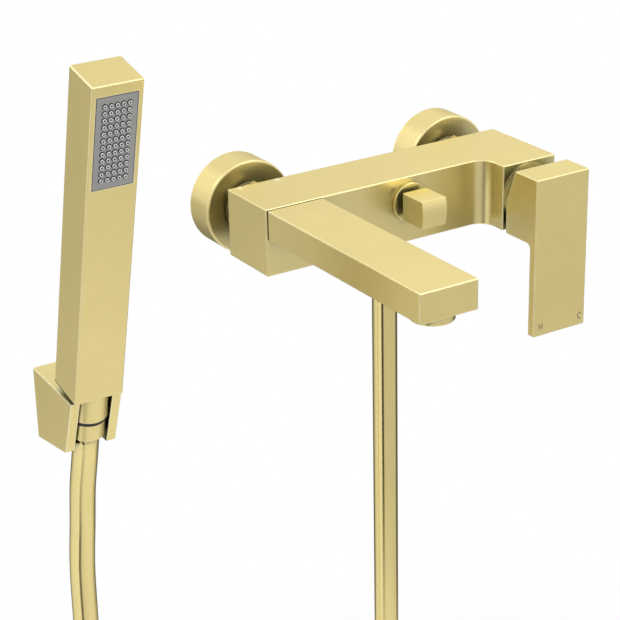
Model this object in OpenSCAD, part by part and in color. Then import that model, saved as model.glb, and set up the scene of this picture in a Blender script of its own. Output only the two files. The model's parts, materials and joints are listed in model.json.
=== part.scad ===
// Wall mounted bath and shower mixer with a square stick handset on a hose.
// X runs along the body, Y goes into the wall and Z is up.
// The origin is on the wall face, midway between the two water inlets.
// Distances named out are measured from the wall face towards the room.

/* [Wall inlets] */
// Distance between the centres of the two wall inlets
inlet_pitch = 150; // [146:1:154]
// Outside diameter of the inlet tails that go into the wall
tail_d = 20.96; // [18:0.02:23]
// Length of the inlet tails inside the wall
tail_len = 16; // [10:1:30]
// Bore of the waterway through each union
water_d = 14; // [8:0.5:15]
// Outside diameter of the union body that carries the flange
union_d = 30; // [29:0.5:34]
// Outside diameter of the thread under the union nut
coupling_d = 26.44; // [25.5:0.02:28]

/* [Wall flanges] */
// Outside diameter of each wall flange
flange_d = 59; // [50:0.5:70]
// Depth of each wall flange from the wall
flange_depth = 21; // [17:0.5:22]
// Sheet thickness of the wall flange
flange_wall = 1.5; // [1:0.1:2.5]

/* [Union nuts] */
// Width of the union nut across its flats
nut_flats = 32; // [31:0.5:36]
// Length of the union nut
nut_len = 11.2; // [10.8:0.2:14]
// Thickness of the lip that pulls the tail in
nut_lip = 2.8; // [2:0.1:3.5]
// How far the nut is turned from corner upwards, in degrees
nut_turn = 0; // [0:1:30]
// Length of the body tail screwed into the body
tail_grip = 12; // [8:0.5:13]

/* [Body] */
// Length of the body
body_len = 198; // [194:1:204]
// Height of the body
body_h = 42; // [40:0.5:46]
// Distance from the wall to the back of the body
body_gap = 37; // [36.5:0.5:42]
// Depth of the bar from back to front
body_depth = 44; // [42:0.5:48]
// Width of the valve block at the right end
block_w = 40; // [38:0.5:44]
// How far the valve block stands in front of the bar
block_reach = 19; // [18.5:0.5:21]
// Radius of the inside corner between bar and valve block
corner_r = 10; // [4:0.5:14]
// Radius of the rounded edges on the large pieces
edge = 0.8; // [0.3:0.1:1.2]

/* [Spout] */
// Width of the spout
spout_w = 38; // [34:0.5:40]
// Thickness of the spout
spout_t = 18; // [17:0.5:20]
// Length of the spout in front of the bar
spout_len = 152; // [120:1:180]
// How far the spout sits in from the end of the body
spout_inset = 1; // [0.5:0.5:6]
// How far the spout top sits below the body top
spout_drop = 0.7; // [0.4:0.1:3]
// Wall of the channel inside the spout
spout_wall = 3.5; // [2.5:0.25:4.5]
// Shadow gap between spout and body
seam = 0.3; // [0.1:0.1:0.5]

/* [Aerator] */
// Diameter of the aerator ring that shows under the spout
aerator_d = 25; // [24:0.5:28]
// Distance from the spout end to the aerator axis
aerator_back = 15.5; // [14.5:0.5:24]
// How far the aerator ring stands below the spout
aerator_show = 5.5; // [3:0.5:8]
// Pitch of the holes in the aerator grid
grid_pitch = 2.6; // [2.4:0.1:3.2]
// Diameter of the holes in the aerator grid
grid_hole_d = 1.9; // [1:0.1:2.1]

/* [Cartridge] */
// Diameter of the ceramic cartridge
cart_d = 25; // [24:0.5:26]
// Distance from the block face back to the cartridge seat
cart_depth = 32; // [32:0.5:34]
// Depth of the lever pivot behind the block face, negative is in front
pivot_depth = 10; // [9:0.5:10.5]
// Diameter of the domed cap behind the lever
cap_d = 39; // [38:0.5:39.5]
// Height of the straight rim of the domed cap
cap_rim = 1.5; // [1:0.1:2]

/* [Lever] */
// Width of the lever
lever_w = 40; // [38:0.5:44]
// Height of the lever from its top down to the blade tip
lever_h = 102.5; // [80:0.5:130]
// Height of the lever hub behind the blade
hub_h = 42.3; // [41:0.1:46]
// Distance from the block face to the front of the blade
lever_out = 33; // [31:0.5:38]
// Thickness of the blade
blade_t = 5.5; // [4:0.25:7]
// Gap between the block face and the back of the hub
hub_gap = 3.7; // [3:0.1:4.5]
// How far the back of the hub slopes away at its top
hub_slope = 8.3; // [7:0.1:10]
// Radius of the inside corner under the hub
hub_r = 3.5; // [1:0.5:6]

/* [Diverter] */
// Diverter position along the body from the middle
diverter_x = 2; // [-6:0.5:6]
// Diverter height above the middle of the body
diverter_z = 5; // [4:0.5:6]
// Diameter of the round plate behind the diverter knob
plate_d = 24.6; // [20:0.2:28]
// Thickness of the round plate behind the diverter knob
plate_t = 2.2; // [1.5:0.1:3]
// Width of the diverter knob
knob_w = 17.6; // [15:0.2:22]
// Length of the diverter knob to the rim of its face
knob_len = 20; // [17:0.5:26]
// Rise of the bowed face of the diverter knob
knob_dome = 1.3; // [0.5:0.1:2]
// Gap between the plate and the diverter knob
knob_gap = 3.5; // [2:0.1:5]
// Diameter of the diverter stem
stem_d = 8; // [7:0.1:8.4]

/* [Shower outlet and hose] */
// Outlet position along the body from the middle
outlet_x = 0; // [-3:0.5:3]
// Distance from the wall to the outlet axis
outlet_out = 57; // [56:0.5:60]
// Width of the hose nut across its flats
hose_nut_flats = 25; // [24.5:0.5:30]
// Outside diameter of the hose
hose_d = 16; // [14:0.5:16]

/* [Handset] */
// Handset position along the wall from the middle of the mixer
hand_x = -200.5; // [-230:0.5:-180]
// Distance from the wall to the foot of the handset
hand_out = 42; // [40:0.5:46]
// Height of the foot of the handset
hand_z = -79.5; // [-79.5:0.5:-60]
// Forward lean of the handset in degrees
lean = 14; // [10:0.5:16]
// Width of the handset
hand_w = 31; // [29:0.5:36]
// Depth of the handset
hand_t = 27; // [25:0.5:32]
// Length of the handset
hand_len = 210; // [180:1:240]
// Wall of the handset shell
hand_wall = 2; // [1.5:0.1:2.5]

/* [Spray face] */
// Width of the spray plate
spray_w = 25; // [22:0.5:26]
// Length of the spray plate
spray_len = 57; // [50:0.5:66]
// Distance from the handset top to the spray plate
spray_top = 7; // [5:0.5:16]
// Thickness of the spray plate
spray_t = 2; // [1.5:0.1:2.4]
// Nozzle columns across the spray plate
nozzle_cols = 5; // [3:1:5]
// Nozzle rows along the spray plate
nozzle_rows = 12; // [8:1:12]
// Distance between nozzle columns
nozzle_dx = 3.7; // [3:0.1:4.2]
// Distance between nozzle rows
nozzle_dz = 4.15; // [3:0.05:4.2]
// Diameter of a nozzle at the spray plate
nozzle_d = 2.2; // [1.6:0.1:2.4]

/* [Hose end at the handset] */
// Diameter of the round nut under the handset
cone_nut_d = 24.4; // [24:0.2:25]
// Length of the round nut under the handset
cone_nut_len = 18.7; // [17.5:0.1:20]
// Diameter of the swivel collar under the nut
collar_d = 21.8; // [20:0.2:22]
// Length of the swivel collar
collar_len = 13.3; // [10:0.1:16]

/* [Wall bracket] */
// Width of the bracket
bracket_w = 33; // [31:0.5:38]
// Height of the bracket at the wall
bracket_h = 46; // [42:0.5:50]
// Depth of the bracket at its top
bracket_top = 51.5; // [50:0.5:56]
// Depth of the bracket at its foot
bracket_foot = 38.5; // [36:0.5:44]
// Height of the bracket back above its front at the top
bracket_fall = 4.5; // [3.5:0.5:8]
// Height of the bracket front above its back at the foot
bracket_rise = 5; // [2:0.5:8]
// Width of the slot that the hose passes through
slot_w = 21.3; // [18:0.1:22]
// Distance between the two fixing screws
screw_pitch = 22; // [18:0.5:24]

/* [Hidden] */

// Clearances: fit is between pieces screwed or pushed together, run is round a shaft that
// turns or slides, and free is between pieces that move past each other.
fit = 0.1;
run = 0.08;
free = 0.3;
round_fn = 72;
small_fn = 32;

// Places along X
inlet_x = inlet_pitch / 2;
body_end = body_len / 2;
valve_x = body_end - block_w / 2;
spout_x = -body_end + spout_inset + spout_w / 2;

// Places out from the wall
bar_face = body_gap + body_depth;
block_face = bar_face + block_reach;
nut_gap = 0.4;
washer_t = 1.5;
shoulder_t = 2.7;
nut_front = body_gap - nut_gap;
shoulder_out = nut_front - nut_lip - fit;
union_end = shoulder_out - shoulder_t - washer_t;
seal_groove = 1.6;
flange_play = 0.4;
coupling_start = flange_depth + 1.2;

// Waterways drilled in the body
drill_d = 6;
gallery_d = 7;
pocket_d = 13;
hot_z = -body_h / 2 + drill_d;
hot_out = body_gap + drill_d;
mixed_z = 8.4;
mix_out = body_gap + tail_grip + 4;

// Cartridge stations, out from the wall
port_r = 6.6;
port_d = 4.6;
ports = [90, 210, 330];
disc_ports = [[0, 0], [-3.2, -3.6], [3.2, -3.6]];
disc_port_d = 3.6;
seat_out = block_face - cart_depth;
base_t = 5;
disc_t = 3;
disc_gap = 0.1;
base_out = seat_out + free;
fixed_out = base_out + base_t;
moving_out = fixed_out + disc_t + disc_gap;
moving_d = 17;
moving_rise = 2;
cavity_d = 8.6;
carrier_out = moving_out + disc_t + 0.6;
carrier_t = 4;
cart_wall = 1.4;
crown_out = carrier_out + carrier_t + 0.5;
crown_t = 3;
pivot_out = block_face - pivot_depth;
neck_d = 14.4;
neck_end = block_face - 2;
nut_thread_d = cart_d + 3.2;
nut_ring_out = crown_out + crown_t + fit;
nut_ring_end = block_face + 4.5;
cap_hole_d = 25.6;
dome_r = sqrt(pow(cap_d / 2, 2) + pow(pivot_depth + cap_rim, 2));

// Lever stem
stem_w = 6;
stem_h = 6.4;
foot_d = 4.6;
pin_d = 3;
lever_face = block_face + lever_out;
hub_back = block_face + hub_gap;
stem_end = lever_face - 9;
dome_clear = 0.6;
top_z = body_h / 2;
screw_out = stem_end - 6;
grub_d = 5;
grub_len = 8;

// Spout
spout_top = top_z - spout_drop;
spout_z = spout_top - spout_t / 2;
spout_back = bar_face + seam;
spout_end = spout_back + spout_len;
nipple_d = 14;
nipple_bore = 10;
nipple_back = bar_face - 9;
channel_back = spout_back + 9;
screw_z = spout_top - 4.5;
screw_dx = spout_w / 2 - 6;
screw_thread_d = 5;
screw_head_d = 8.4;
screw_head_t = 4.5;
aerator_out = spout_end - aerator_back;
spout_foot = spout_top - spout_t;
aerator_thread_d = aerator_d - 3.2;
aerator_grip = 6.7;
grid_d = aerator_d - 6;
channel_end = aerator_out - aerator_d / 2 - 1.5;

// Diverter stations, out from the wall
chamber_d = 16;
seat_t = 3;
diverter_seat_out = body_gap + 11;
head_out = diverter_seat_out + seat_t + free;
head_t = 3.5;
head_d = 14.8;
pull = 8;
bush_t = 4;
spigot_end = head_out + head_t + pull + free;
spring_seat = bar_face - bush_t;
stem_seal_out = (spring_seat + bar_face + plate_t) / 2;
valve_side = (head_out + head_t + spigot_end) / 2;
spout_side = spigot_end + 1.5 + gallery_d / 2;
spring_wire = 1;
spring_turns = 6;
knob_back = bar_face + plate_t + knob_gap;
knob_face = knob_back + knob_len;
knob_grip = 12;

// Shower outlet, heights below the body
body_foot = -body_h / 2;
half_inch_d = 20.96;
outlet_grip = 11;
outlet_flange_d = 25;
outlet_flange_t = 3;
outlet_bore = 12;
outlet_foot = body_foot - outlet_flange_t - 10;
hose_washer_t = 2;
ferrule_flange_t = 2;
ferrule_gap = 0.2;
hose_nut_lip = 2.5;
hose_nut_foot = outlet_foot - hose_washer_t - ferrule_flange_t - ferrule_gap - hose_nut_lip;
ferrule_foot = hose_nut_foot - 1;
ferrule_bore = 9;
bypass_top = diverter_z - chamber_d / 2 - 1.3;
bypass_d = bypass_top - body_foot - outlet_grip - free;
bypass_z = bypass_top - bypass_d / 2;
bypass_out = diverter_seat_out - bypass_d / 2 + 0.3;

// Handset lengths, measured along its axis from its foot
inlet_len = 12;
washer_foot = -inlet_len - hose_washer_t;
flange_foot = washer_foot - ferrule_flange_t;
nut_foot = -cone_nut_len - free;
collar_head = nut_foot - 1;
collar_foot = collar_head - collar_len;
base_plate_t = 6;
pipe_d = 12;
pipe_bore = 9.6;
chamber_t = 6;
mat_t = 1.2;
nozzle_show = 0.8;
spray_mid = hand_len - spray_top - spray_len / 2;
spray_foot = spray_mid - spray_len / 2;

// Wall bracket
holder_d = cone_nut_d + 1.2;
holder_low_d = collar_d + 1.2;
bracket_head = hand_z + 0.7;
screw_mid = bracket_head - bracket_h / 2;
screw_seat = 10;
wall_screw_d = 4.5;
shank_d = 4;
wall_screw_len = 20;
pan_d = 8.4;
pan_t = 2.5;

// Route of the hose, from the mixer down, round and up to the handset.
// The first and last points follow the two ends, the rest were placed by hand.
hose_start = [outlet_x, -outlet_out, ferrule_foot];
hose_rise = [0, -sin(lean), cos(lean)];
hose_finish = [hand_x, -hand_out, hand_z] + collar_foot * hose_rise;
hose_route = [
    hose_start,
    [0, -57, -80], [0, -57, -120], [0, -57, -160], [0, -57, -200], [0, -57, -240],
    [0, -57, -280], [0, -57, -320], [0, -57, -360], [0, -57, -400], [0, -57, -440],
    [0, -56, -480], [-1, -55, -515], [-4, -53, -548], [-14, -50, -580], [-31, -46, -608],
    [-54, -42, -627], [-82, -38, -638], [-112, -34, -639], [-141, -30, -629], [-166, -26, -611],
    [-184, -23, -586], [-195, -20, -556], [-200, -18, -522], [-202, -17, -484],
    [-202, -16, -444], [-202, -16, -404], [-202, -16, -364], [-202, -16, -324],
    [-202, -16, -284], [-202, -16, -246], [-202, -17, -212], [-201, -20, -180],
    [-201, -24, -154], hose_finish - 20 * hose_rise,
    hose_finish];

// Shared shapes

// Puts its children on an axis square to the wall, where local Z is the distance out.
module from_wall(x, z) {
    translate([x, 0, z]) rotate([90, 0, 0]) children();
}

// Puts its children on the handset's own axis, with its foot at the origin.
module on_handset() {
    translate([hand_x, -hand_out, hand_z]) rotate([lean, 0, 0]) children();
}

module rod(from, to, d, fn = round_fn) {
    translate([0, 0, from]) cylinder(d = d, h = to - from, $fn = fn);
}

module ring(from, to, outer, inner, fn = round_fn) {
    difference() {
        rod(from, to, outer, fn);
        rod(from - 1, to + 1, inner, fn);
    }
}

module o_ring(at, middle_d, wire) {
    translate([0, 0, at]) rotate_extrude($fn = 48)
        translate([middle_d / 2, 0]) circle(d = wire, $fn = 16);
}

// A drilled passage from one point to another along X, out or Z, given as x, out, z.
module drill(a, b, d) {
    if (a[0] != b[0])
        translate([min(a[0], b[0]), -a[1], a[2]]) rotate([0, 90, 0])
            cylinder(d = d, h = abs(a[0] - b[0]), $fn = small_fn);
    else if (a[1] != b[1])
        translate([a[0], -min(a[1], b[1]), a[2]]) rotate([90, 0, 0])
            cylinder(d = d, h = abs(a[1] - b[1]), $fn = small_fn);
    else
        translate([a[0], -a[1], min(a[2], b[2])])
            cylinder(d = d, h = abs(a[2] - b[2]), $fn = small_fn);
}

module round_corner_square(w, h, r) {
    square([w - 2 * r, h], center = true);
    square([w, h - 2 * r], center = true);
    for (x = [-1, 1], y = [-1, 1])
        translate([x * (w / 2 - r), y * (h / 2 - r)]) circle(r = r, $fn = 16);
}

// A centred box whose twelve edges are rounded.
module eased_box(w, d, h, r = edge) {
    intersection() {
        linear_extrude(h, center = true) round_corner_square(w, d, r);
        rotate([90, 0, 0]) linear_extrude(d, center = true) round_corner_square(w, h, r);
        rotate([90, 0, 90]) linear_extrude(w, center = true) round_corner_square(d, h, r);
    }
}

// An eased box between two limits along X, out and Z.
module eased_block(x, out, z, r = edge) {
    translate([x[0] + x[1], -out[0] - out[1], z[0] + z[1]] / 2)
        eased_box(x[1] - x[0], out[1] - out[0], z[1] - z[0], r);
}

module plain_block(x, out, z) {
    translate([x[0], -out[1], z[0]]) cube([x[1] - x[0], out[1] - out[0], z[1] - z[0]]);
}

// A hexagon nut with its corners turned off at 30 degrees at both ends.
module hex_nut(from, to, flats, turn) {
    across = flats / cos(30);
    face_r = flats / 2 - 0.3;
    outer_r = across / 2 + 0.5;
    ease = (outer_r - face_r) * tan(30);
    intersection() {
        rotate([0, 0, turn]) rod(from, to, across, 6);
        rotate_extrude($fn = round_fn) polygon([[0, from], [face_r, from],
            [outer_r, from + ease], [outer_r, to - ease], [face_r, to], [0, to]]);
    }
}

// A tube of flat sided rings swept along a list of points.
function unit(v) = v / norm(v);
function sweep_way(p, i) = unit(p[min(i + 1, len(p) - 1)] - p[max(i - 1, 0)]);
function sweep_side(p, i) = unit(cross(sweep_way(p, i), [0, 1, 0]));
function sweep_ring(p, i, r, n) = let (t = sweep_way(p, i), s = sweep_side(p, i), u = cross(t, s))
    [for (k = [0 : n - 1]) p[i] + r * (cos(360 * k / n) * s + sin(360 * k / n) * u)];

module sweep(p, d, n) {
    last = (len(p) - 1) * n;
    polyhedron(
        points = [for (i = [0 : len(p) - 1]) each sweep_ring(p, i, d / 2, n)],
        faces = concat(
            [for (k = [1 : n - 2]) [0, k, k + 1]],
            [for (i = [0 : len(p) - 2], k = [0 : n - 1])
                each let (a = i * n + k, b = i * n + (k + 1) % n)
                    [[a, a + n, b], [b, a + n, b + n]]],
            [for (k = [1 : n - 2]) [last, last + k + 1, last + k]]));
}

// Wall unions and flanges

module wall_union(x) {
    bore = water_d / 2;
    seal_at = flange_depth - flange_wall / 2;
    color("goldenrod") from_wall(x, 0) rotate_extrude($fn = round_fn) polygon([
        [bore, -tail_len], [tail_d / 2 - 1, -tail_len], [tail_d / 2, -tail_len + 1],
        [tail_d / 2, 1], [union_d / 2, 1], [union_d / 2, seal_at - 1.1],
        [union_d / 2 - seal_groove, seal_at - 1.1], [union_d / 2 - seal_groove, seal_at + 1.1],
        [union_d / 2, seal_at + 1.1], [union_d / 2, coupling_start],
        [coupling_d / 2, coupling_start], [coupling_d / 2, union_end - 0.5],
        [coupling_d / 2 - 0.5, union_end], [bore, union_end]]);
}

module wall_union_left() { wall_union(-inlet_x); }
module wall_union_right() { wall_union(inlet_x); }

module wall_flange(x) {
    r = flange_d / 2;
    hole = union_d / 2 + flange_play;
    lip = 1.4;
    color("darkkhaki") from_wall(x, 0) rotate_extrude($fn = 96) polygon(concat(
        [[r - flange_wall, 0], [r, 0]],
        [for (a = [0 : 15 : 90]) [r - lip + lip * cos(a), flange_depth - lip + lip * sin(a)]],
        [[hole, flange_depth], [hole, flange_depth - flange_wall],
            [r - flange_wall, flange_depth - flange_wall]]));
}

module wall_flange_left() { wall_flange(-inlet_x); }
module wall_flange_right() { wall_flange(inlet_x); }

module flange_seals() {
    wire = seal_groove + flange_play - 0.04;
    color("dimgray") for (x = [-inlet_x, inlet_x]) from_wall(x, 0)
        o_ring(flange_depth - flange_wall / 2, union_d + flange_play - seal_groove, wire);
}

module union_nut(x) {
    color("darkkhaki") from_wall(x, 0) difference() {
        hex_nut(nut_front - nut_len, nut_front, nut_flats, 30 + nut_turn);
        rod(nut_front - nut_len - 1, shoulder_out + fit, coupling_d + 2 * fit);
        rod(nut_front - nut_len, nut_front + 1, tail_d + 6 * fit);
    }
}

module union_nut_left() { union_nut(-inlet_x); }
module union_nut_right() { union_nut(inlet_x); }

module union_washer(x) {
    color("dimgray") from_wall(x, 0)
        ring(union_end, union_end + washer_t, coupling_d - 0.6, water_d + 2);
}

module union_washer_left() { union_washer(-inlet_x); }
module union_washer_right() { union_washer(inlet_x); }

module union_tail(x) {
    color("goldenrod") from_wall(x, 0) difference() {
        union() {
            rod(shoulder_out - shoulder_t, shoulder_out, coupling_d - 0.4);
            rod(shoulder_out - 0.5, body_gap + tail_grip, tail_d);
        }
        rod(shoulder_out - shoulder_t - 1, body_gap + tail_grip + 1, water_d);
    }
}

module union_tail_left() { union_tail(-inlet_x); }
module union_tail_right() { union_tail(inlet_x); }

// Body

// Fills the inside corner between bar and valve block with a concave fillet.
module corner_fillet() {
    inner_x = body_end - block_w - corner_r;
    difference() {
        plain_block([inner_x, body_end - block_w + 1], [bar_face - 1, bar_face + corner_r],
            [-top_z, top_z]);
        translate([inner_x, -bar_face - corner_r, -top_z - 1])
            cylinder(r = corner_r, h = body_h + 2, $fn = round_fn);
        for (side = [0, 1]) mirror([0, 0, side])
            translate([inner_x, -bar_face - corner_r, top_z - edge])
                rotate_extrude($fn = round_fn) difference() {
                    square([corner_r + edge, edge + 1]);
                    translate([corner_r + edge, 0]) circle(r = edge, $fn = 16);
                }
        translate([inner_x - 1, -bar_face - corner_r - 1, -top_z - 1])
            cube([1, corner_r + 3, body_h + 2]);
    }
}

module body_passages() {
    for (x = [-inlet_x, inlet_x]) from_wall(x, 0) {
        rod(body_gap - 1, body_gap + tail_grip + free, tail_d + 2 * fit);
        rod(body_gap, mix_out, pocket_d);
    }
    // hot water runs low along the back to the cartridge
    hot_port = [valve_x + port_r * cos(ports[1]), port_r * sin(ports[1])];
    hot_turn = seat_out - 10.5;
    drill([-inlet_x, mix_out - 1, hot_z], [-inlet_x, mix_out - 1, 0], drill_d);
    drill([-inlet_x, hot_out, hot_z], [-inlet_x, mix_out - 1, hot_z], drill_d);
    drill([-inlet_x, hot_out, hot_z], [hot_port[0], hot_out, hot_z], drill_d);
    drill([hot_port[0], hot_out, hot_z], [hot_port[0], hot_turn, hot_z], drill_d);
    drill([hot_port[0], hot_turn, hot_z], [hot_port[0], hot_turn, hot_port[1]], port_d);
    drill([hot_port[0], hot_turn, hot_port[1]], [hot_port[0], seat_out + 1, hot_port[1]], port_d);
    // cold water crosses straight over behind the cartridge
    cold_port = [valve_x + port_r * cos(ports[2]), port_r * sin(ports[2])];
    drill([inlet_x, mix_out - 2.5, cold_port[1]], [cold_port[0], mix_out - 2.5, cold_port[1]], port_d);
    drill([cold_port[0], mix_out - 2.5, cold_port[1]], [cold_port[0], seat_out + 1, cold_port[1]],
        port_d);
    // mixed water runs to the middle of the diverter and leaves it nearer the front
    drill([valve_x, valve_side, port_r], [valve_x, seat_out + 1, port_r], port_d);
    drill([diverter_x, valve_side, mixed_z], [valve_x, valve_side, mixed_z], gallery_d);
    drill([spout_x, spout_side, mixed_z], [diverter_x, spout_side, mixed_z], gallery_d);
    // from the back of the diverter it drops to the shower outlet
    drill([diverter_x, bypass_out, bypass_z], [diverter_x, bypass_out, diverter_z], bypass_d);
    drill([diverter_x, bypass_out, bypass_z], [diverter_x, outlet_out, bypass_z], bypass_d);
}

module mixer_body() {
    color("darkkhaki") difference() {
        union() {
            eased_block([-body_end, body_end], [body_gap, bar_face], [-top_z, top_z]);
            eased_block([body_end - block_w, body_end], [body_gap, block_face], [-top_z, top_z]);
            corner_fillet();
        }
        body_passages();
        // cartridge
        from_wall(valve_x, 0) {
            rod(seat_out, block_face + 1, cart_d + 2 * fit);
            rod(nut_ring_out, block_face + 1, nut_thread_d + 2 * fit);
        }
        // spout nipple and spout screws
        from_wall(spout_x, spout_z) {
            rod(spout_side, bar_face, nipple_bore);
            rod(nipple_back, bar_face + 1, nipple_d + 2 * fit);
        }
        for (side = [-1, 1]) from_wall(spout_x + side * screw_dx, screw_z) {
            rod(body_gap - 1, bar_face + 1, screw_thread_d + 2 * fit, small_fn);
            rod(body_gap - 1, body_gap + screw_head_t + 1, screw_head_d + 0.6, small_fn);
        }
        // diverter chamber with its way down to the shower outlet
        from_wall(diverter_x, diverter_z) {
            rod(diverter_seat_out, bar_face + 1, chamber_d);
            rod(bypass_out - 2, diverter_seat_out + 1, chamber_d - 5);
        }
        translate([outlet_x, -outlet_out, 0]) {
            rod(body_foot - 1, body_foot + outlet_grip + free, half_inch_d - 3 + 2 * fit);
            rod(body_foot, bypass_top, outlet_bore);
        }
    }
}

// Spout and aerator

module spout() {
    half = spout_w / 2;
    color("khaki") difference() {
        eased_block([spout_x - half, spout_x + half], [spout_back, spout_end],
            [spout_foot, spout_top]);
        plain_block([spout_x - half + 2 * spout_wall, spout_x + half - 2 * spout_wall],
            [channel_back, channel_end], [spout_foot + spout_wall, spout_top - spout_wall]);
        plain_block([spout_x - 6, spout_x + 6], [channel_end - 1, aerator_out],
            [spout_top - spout_wall - 4, spout_top - spout_wall]);
        from_wall(spout_x, spout_z) rod(spout_back - 1, channel_back + 1, nipple_d + 2 * fit);
        translate([spout_x, -aerator_out, spout_foot]) {
            rod(-1, aerator_grip + washer_t, aerator_thread_d + 2 * fit);
            rod(aerator_grip, spout_t - spout_wall, aerator_thread_d - 5);
        }
        for (side = [-1, 1]) from_wall(spout_x + side * screw_dx, screw_z)
            rod(spout_back - 1, spout_back + 7.5, screw_thread_d + 2 * fit, small_fn);
    }
}

module spout_nipple() {
    front = channel_back - free;
    color("goldenrod") from_wall(spout_x, spout_z) difference() {
        rod(nipple_back + free, front, nipple_d);
        rod(nipple_back, front + 1, nipple_bore);
        for (at = [nipple_back + 4.5, front - 4]) ring(at - 0.6, at + 0.6, nipple_d + 2, nipple_d - 2);
    }
}

module spout_seals() {
    color("dimgray") from_wall(spout_x, spout_z)
        for (at = [nipple_back + 4.5, channel_back - free - 4]) o_ring(at, nipple_d - 1, 1);
}

module spout_screws() {
    head_back = body_gap + 1;
    color("silver") for (side = [-1, 1]) from_wall(spout_x + side * screw_dx, screw_z)
        difference() {
            union() {
                rod(head_back, head_back + screw_head_t, screw_head_d, small_fn);
                rod(head_back + screw_head_t, spout_back + 7, screw_thread_d, small_fn);
            }
            rod(head_back - 1, head_back + 2.5, 4.6, 6);
        }
}

module aerator_ring() {
    color("darkkhaki") translate([spout_x, -aerator_out, spout_foot]) difference() {
        union() {
            rotate_extrude($fn = round_fn) polygon([[0, 0], [aerator_d / 2, 0],
                [aerator_d / 2, -aerator_show + 0.6], [aerator_d / 2 - 0.6, -aerator_show],
                [0, -aerator_show]]);
            rod(-1, aerator_grip, aerator_thread_d);
        }
        rod(-aerator_show - 1, aerator_grip + 1, grid_d + 2 * fit);
    }
}

// The jet grid is a round plate with holes on a hexagon pattern, over a plain collar.
module aerator_grid() {
    reach = floor(grid_d / 2 / grid_pitch);
    color("whitesmoke") translate([spout_x, -aerator_out, spout_foot - aerator_show + 0.8]) {
        difference() {
            rod(0, 2, grid_d);
            for (i = [-reach : reach], j = [-reach : reach]) {
                p = grid_pitch * [i + j / 2, j * sin(60)];
                if (norm(p) < grid_d / 2 - grid_hole_d / 2 - 0.6)
                    translate([p[0], p[1], -1]) cylinder(d = grid_hole_d, h = 4, $fn = 16);
            }
        }
        ring(2, aerator_show + aerator_grip - 0.8, grid_d, grid_d - 2.4);
    }
}

module aerator_washer() {
    color("dimgray") translate([spout_x, -aerator_out, spout_foot])
        ring(aerator_grip, aerator_grip + washer_t, aerator_thread_d - 0.4, aerator_thread_d - 4);
}

// Cartridge

module at_ports() {
    for (a = ports) translate([port_r * cos(a), port_r * sin(a), 0]) children();
}

module cartridge_base() {
    color("whitesmoke") from_wall(valve_x, 0) difference() {
        rod(base_out, fixed_out, cart_d - 2 * fit);
        at_ports() {
            rod(base_out - 1, fixed_out - 1, port_d, small_fn);
            rod(base_out - 1, base_out + 1, port_d + 2.4, small_fn);
        }
        // each round port opens into a slot that leads to its hole in the fixed disc
        for (i = [0 : 2]) hull() {
            translate([port_r * cos(ports[i]), port_r * sin(ports[i]), 0])
                rod(fixed_out - 2.5, fixed_out + 1, disc_port_d, small_fn);
            translate([disc_ports[i][0], disc_ports[i][1], 0])
                rod(fixed_out - 2.5, fixed_out + 1, disc_port_d, small_fn);
        }
    }
}

module cartridge_seals() {
    color("dimgray") from_wall(valve_x, 0) at_ports() o_ring(base_out + 0.5, port_d + 1.2, 1);
}

module fixed_disc() {
    color("white") from_wall(valve_x, 0) difference() {
        rod(fixed_out, fixed_out + disc_t, cart_d - 2 * cart_wall - 0.6);
        for (p = disc_ports) translate([p[0], p[1], 0])
            rod(fixed_out - 1, fixed_out + disc_t + 1, disc_port_d, small_fn);
    }
}

module cartridge_housing() {
    inner = cart_d - 2 * cart_wall - 2 * fit;
    color("whitesmoke") from_wall(valve_x, 0) {
        ring(fixed_out, crown_out, cart_d - 2 * fit, inner);
        ring(crown_out, crown_out + crown_t, cart_d - 2 * fit, neck_d + 2 * run);
        ring(crown_out + crown_t, neck_end - 1, neck_d + 4, neck_d + 2 * run);
    }
}

module retaining_nut() {
    color("goldenrod") from_wall(valve_x, 0) difference() {
        rod(nut_ring_out, nut_ring_end, nut_thread_d);
        rod(nut_ring_out - 1, nut_ring_end + 1, neck_d + 4 + 2 * fit);
        rod(nut_ring_out + 3, nut_ring_end + 1, nut_thread_d - 6);
    }
}

// Points of the dome's outline, from its rim to its opening, round the lever pivot.
function dome_points(r, from_r, to_r) = [for (k = [0 : 8])
    let (x = from_r + (to_r - from_r) * k / 8) [x, pivot_out + sqrt(r * r - x * x)]];

module cartridge_cap() {
    bore = nut_thread_d / 2 + fit;
    color("darkkhaki") from_wall(valve_x, 0) rotate_extrude($fn = 96) polygon(concat(
        [[bore, block_face], [cap_d / 2, block_face]],
        dome_points(dome_r, cap_d / 2, cap_hole_d / 2),
        [[cap_hole_d / 2, nut_ring_end + fit], [bore, nut_ring_end + fit]]));
}

module spindle() {
    slot = stem_w + 2 * free;
    color("dimgray") from_wall(valve_x, 0) difference() {
        union() {
            rod(carrier_out, carrier_out + carrier_t, cart_d - 2 * cart_wall - 1.2);
            rod(carrier_out, neck_end, neck_d);
        }
        translate([-slot / 2, -neck_d / 2 - 1, carrier_out - 1])
            cube([slot, neck_d + 2, neck_end - carrier_out + 2]);
        translate([-neck_d, 0, pivot_out]) rotate([0, 90, 0])
            cylinder(d = pin_d, h = 2 * neck_d, $fn = small_fn);
    }
}

module spindle_pin() {
    color("silver") from_wall(valve_x, 0) translate([-neck_d / 2 + 0.5, 0, pivot_out])
        rotate([0, 90, 0]) cylinder(d = pin_d, h = neck_d - 1, $fn = small_fn);
}

// The moving disc sits high when the water is off. Its cavity then covers the outlet hole only.
module moving_disc() {
    color("white") from_wall(valve_x, 0) difference() {
        translate([0, moving_rise, 0]) difference() {
            rod(moving_out, moving_out + disc_t, moving_d);
            rod(moving_out - 1, moving_out + 0.8, cavity_d);
        }
        rod(moving_out + 1.2, moving_out + disc_t + 1, foot_d + 1.4, small_fn);
    }
}

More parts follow.
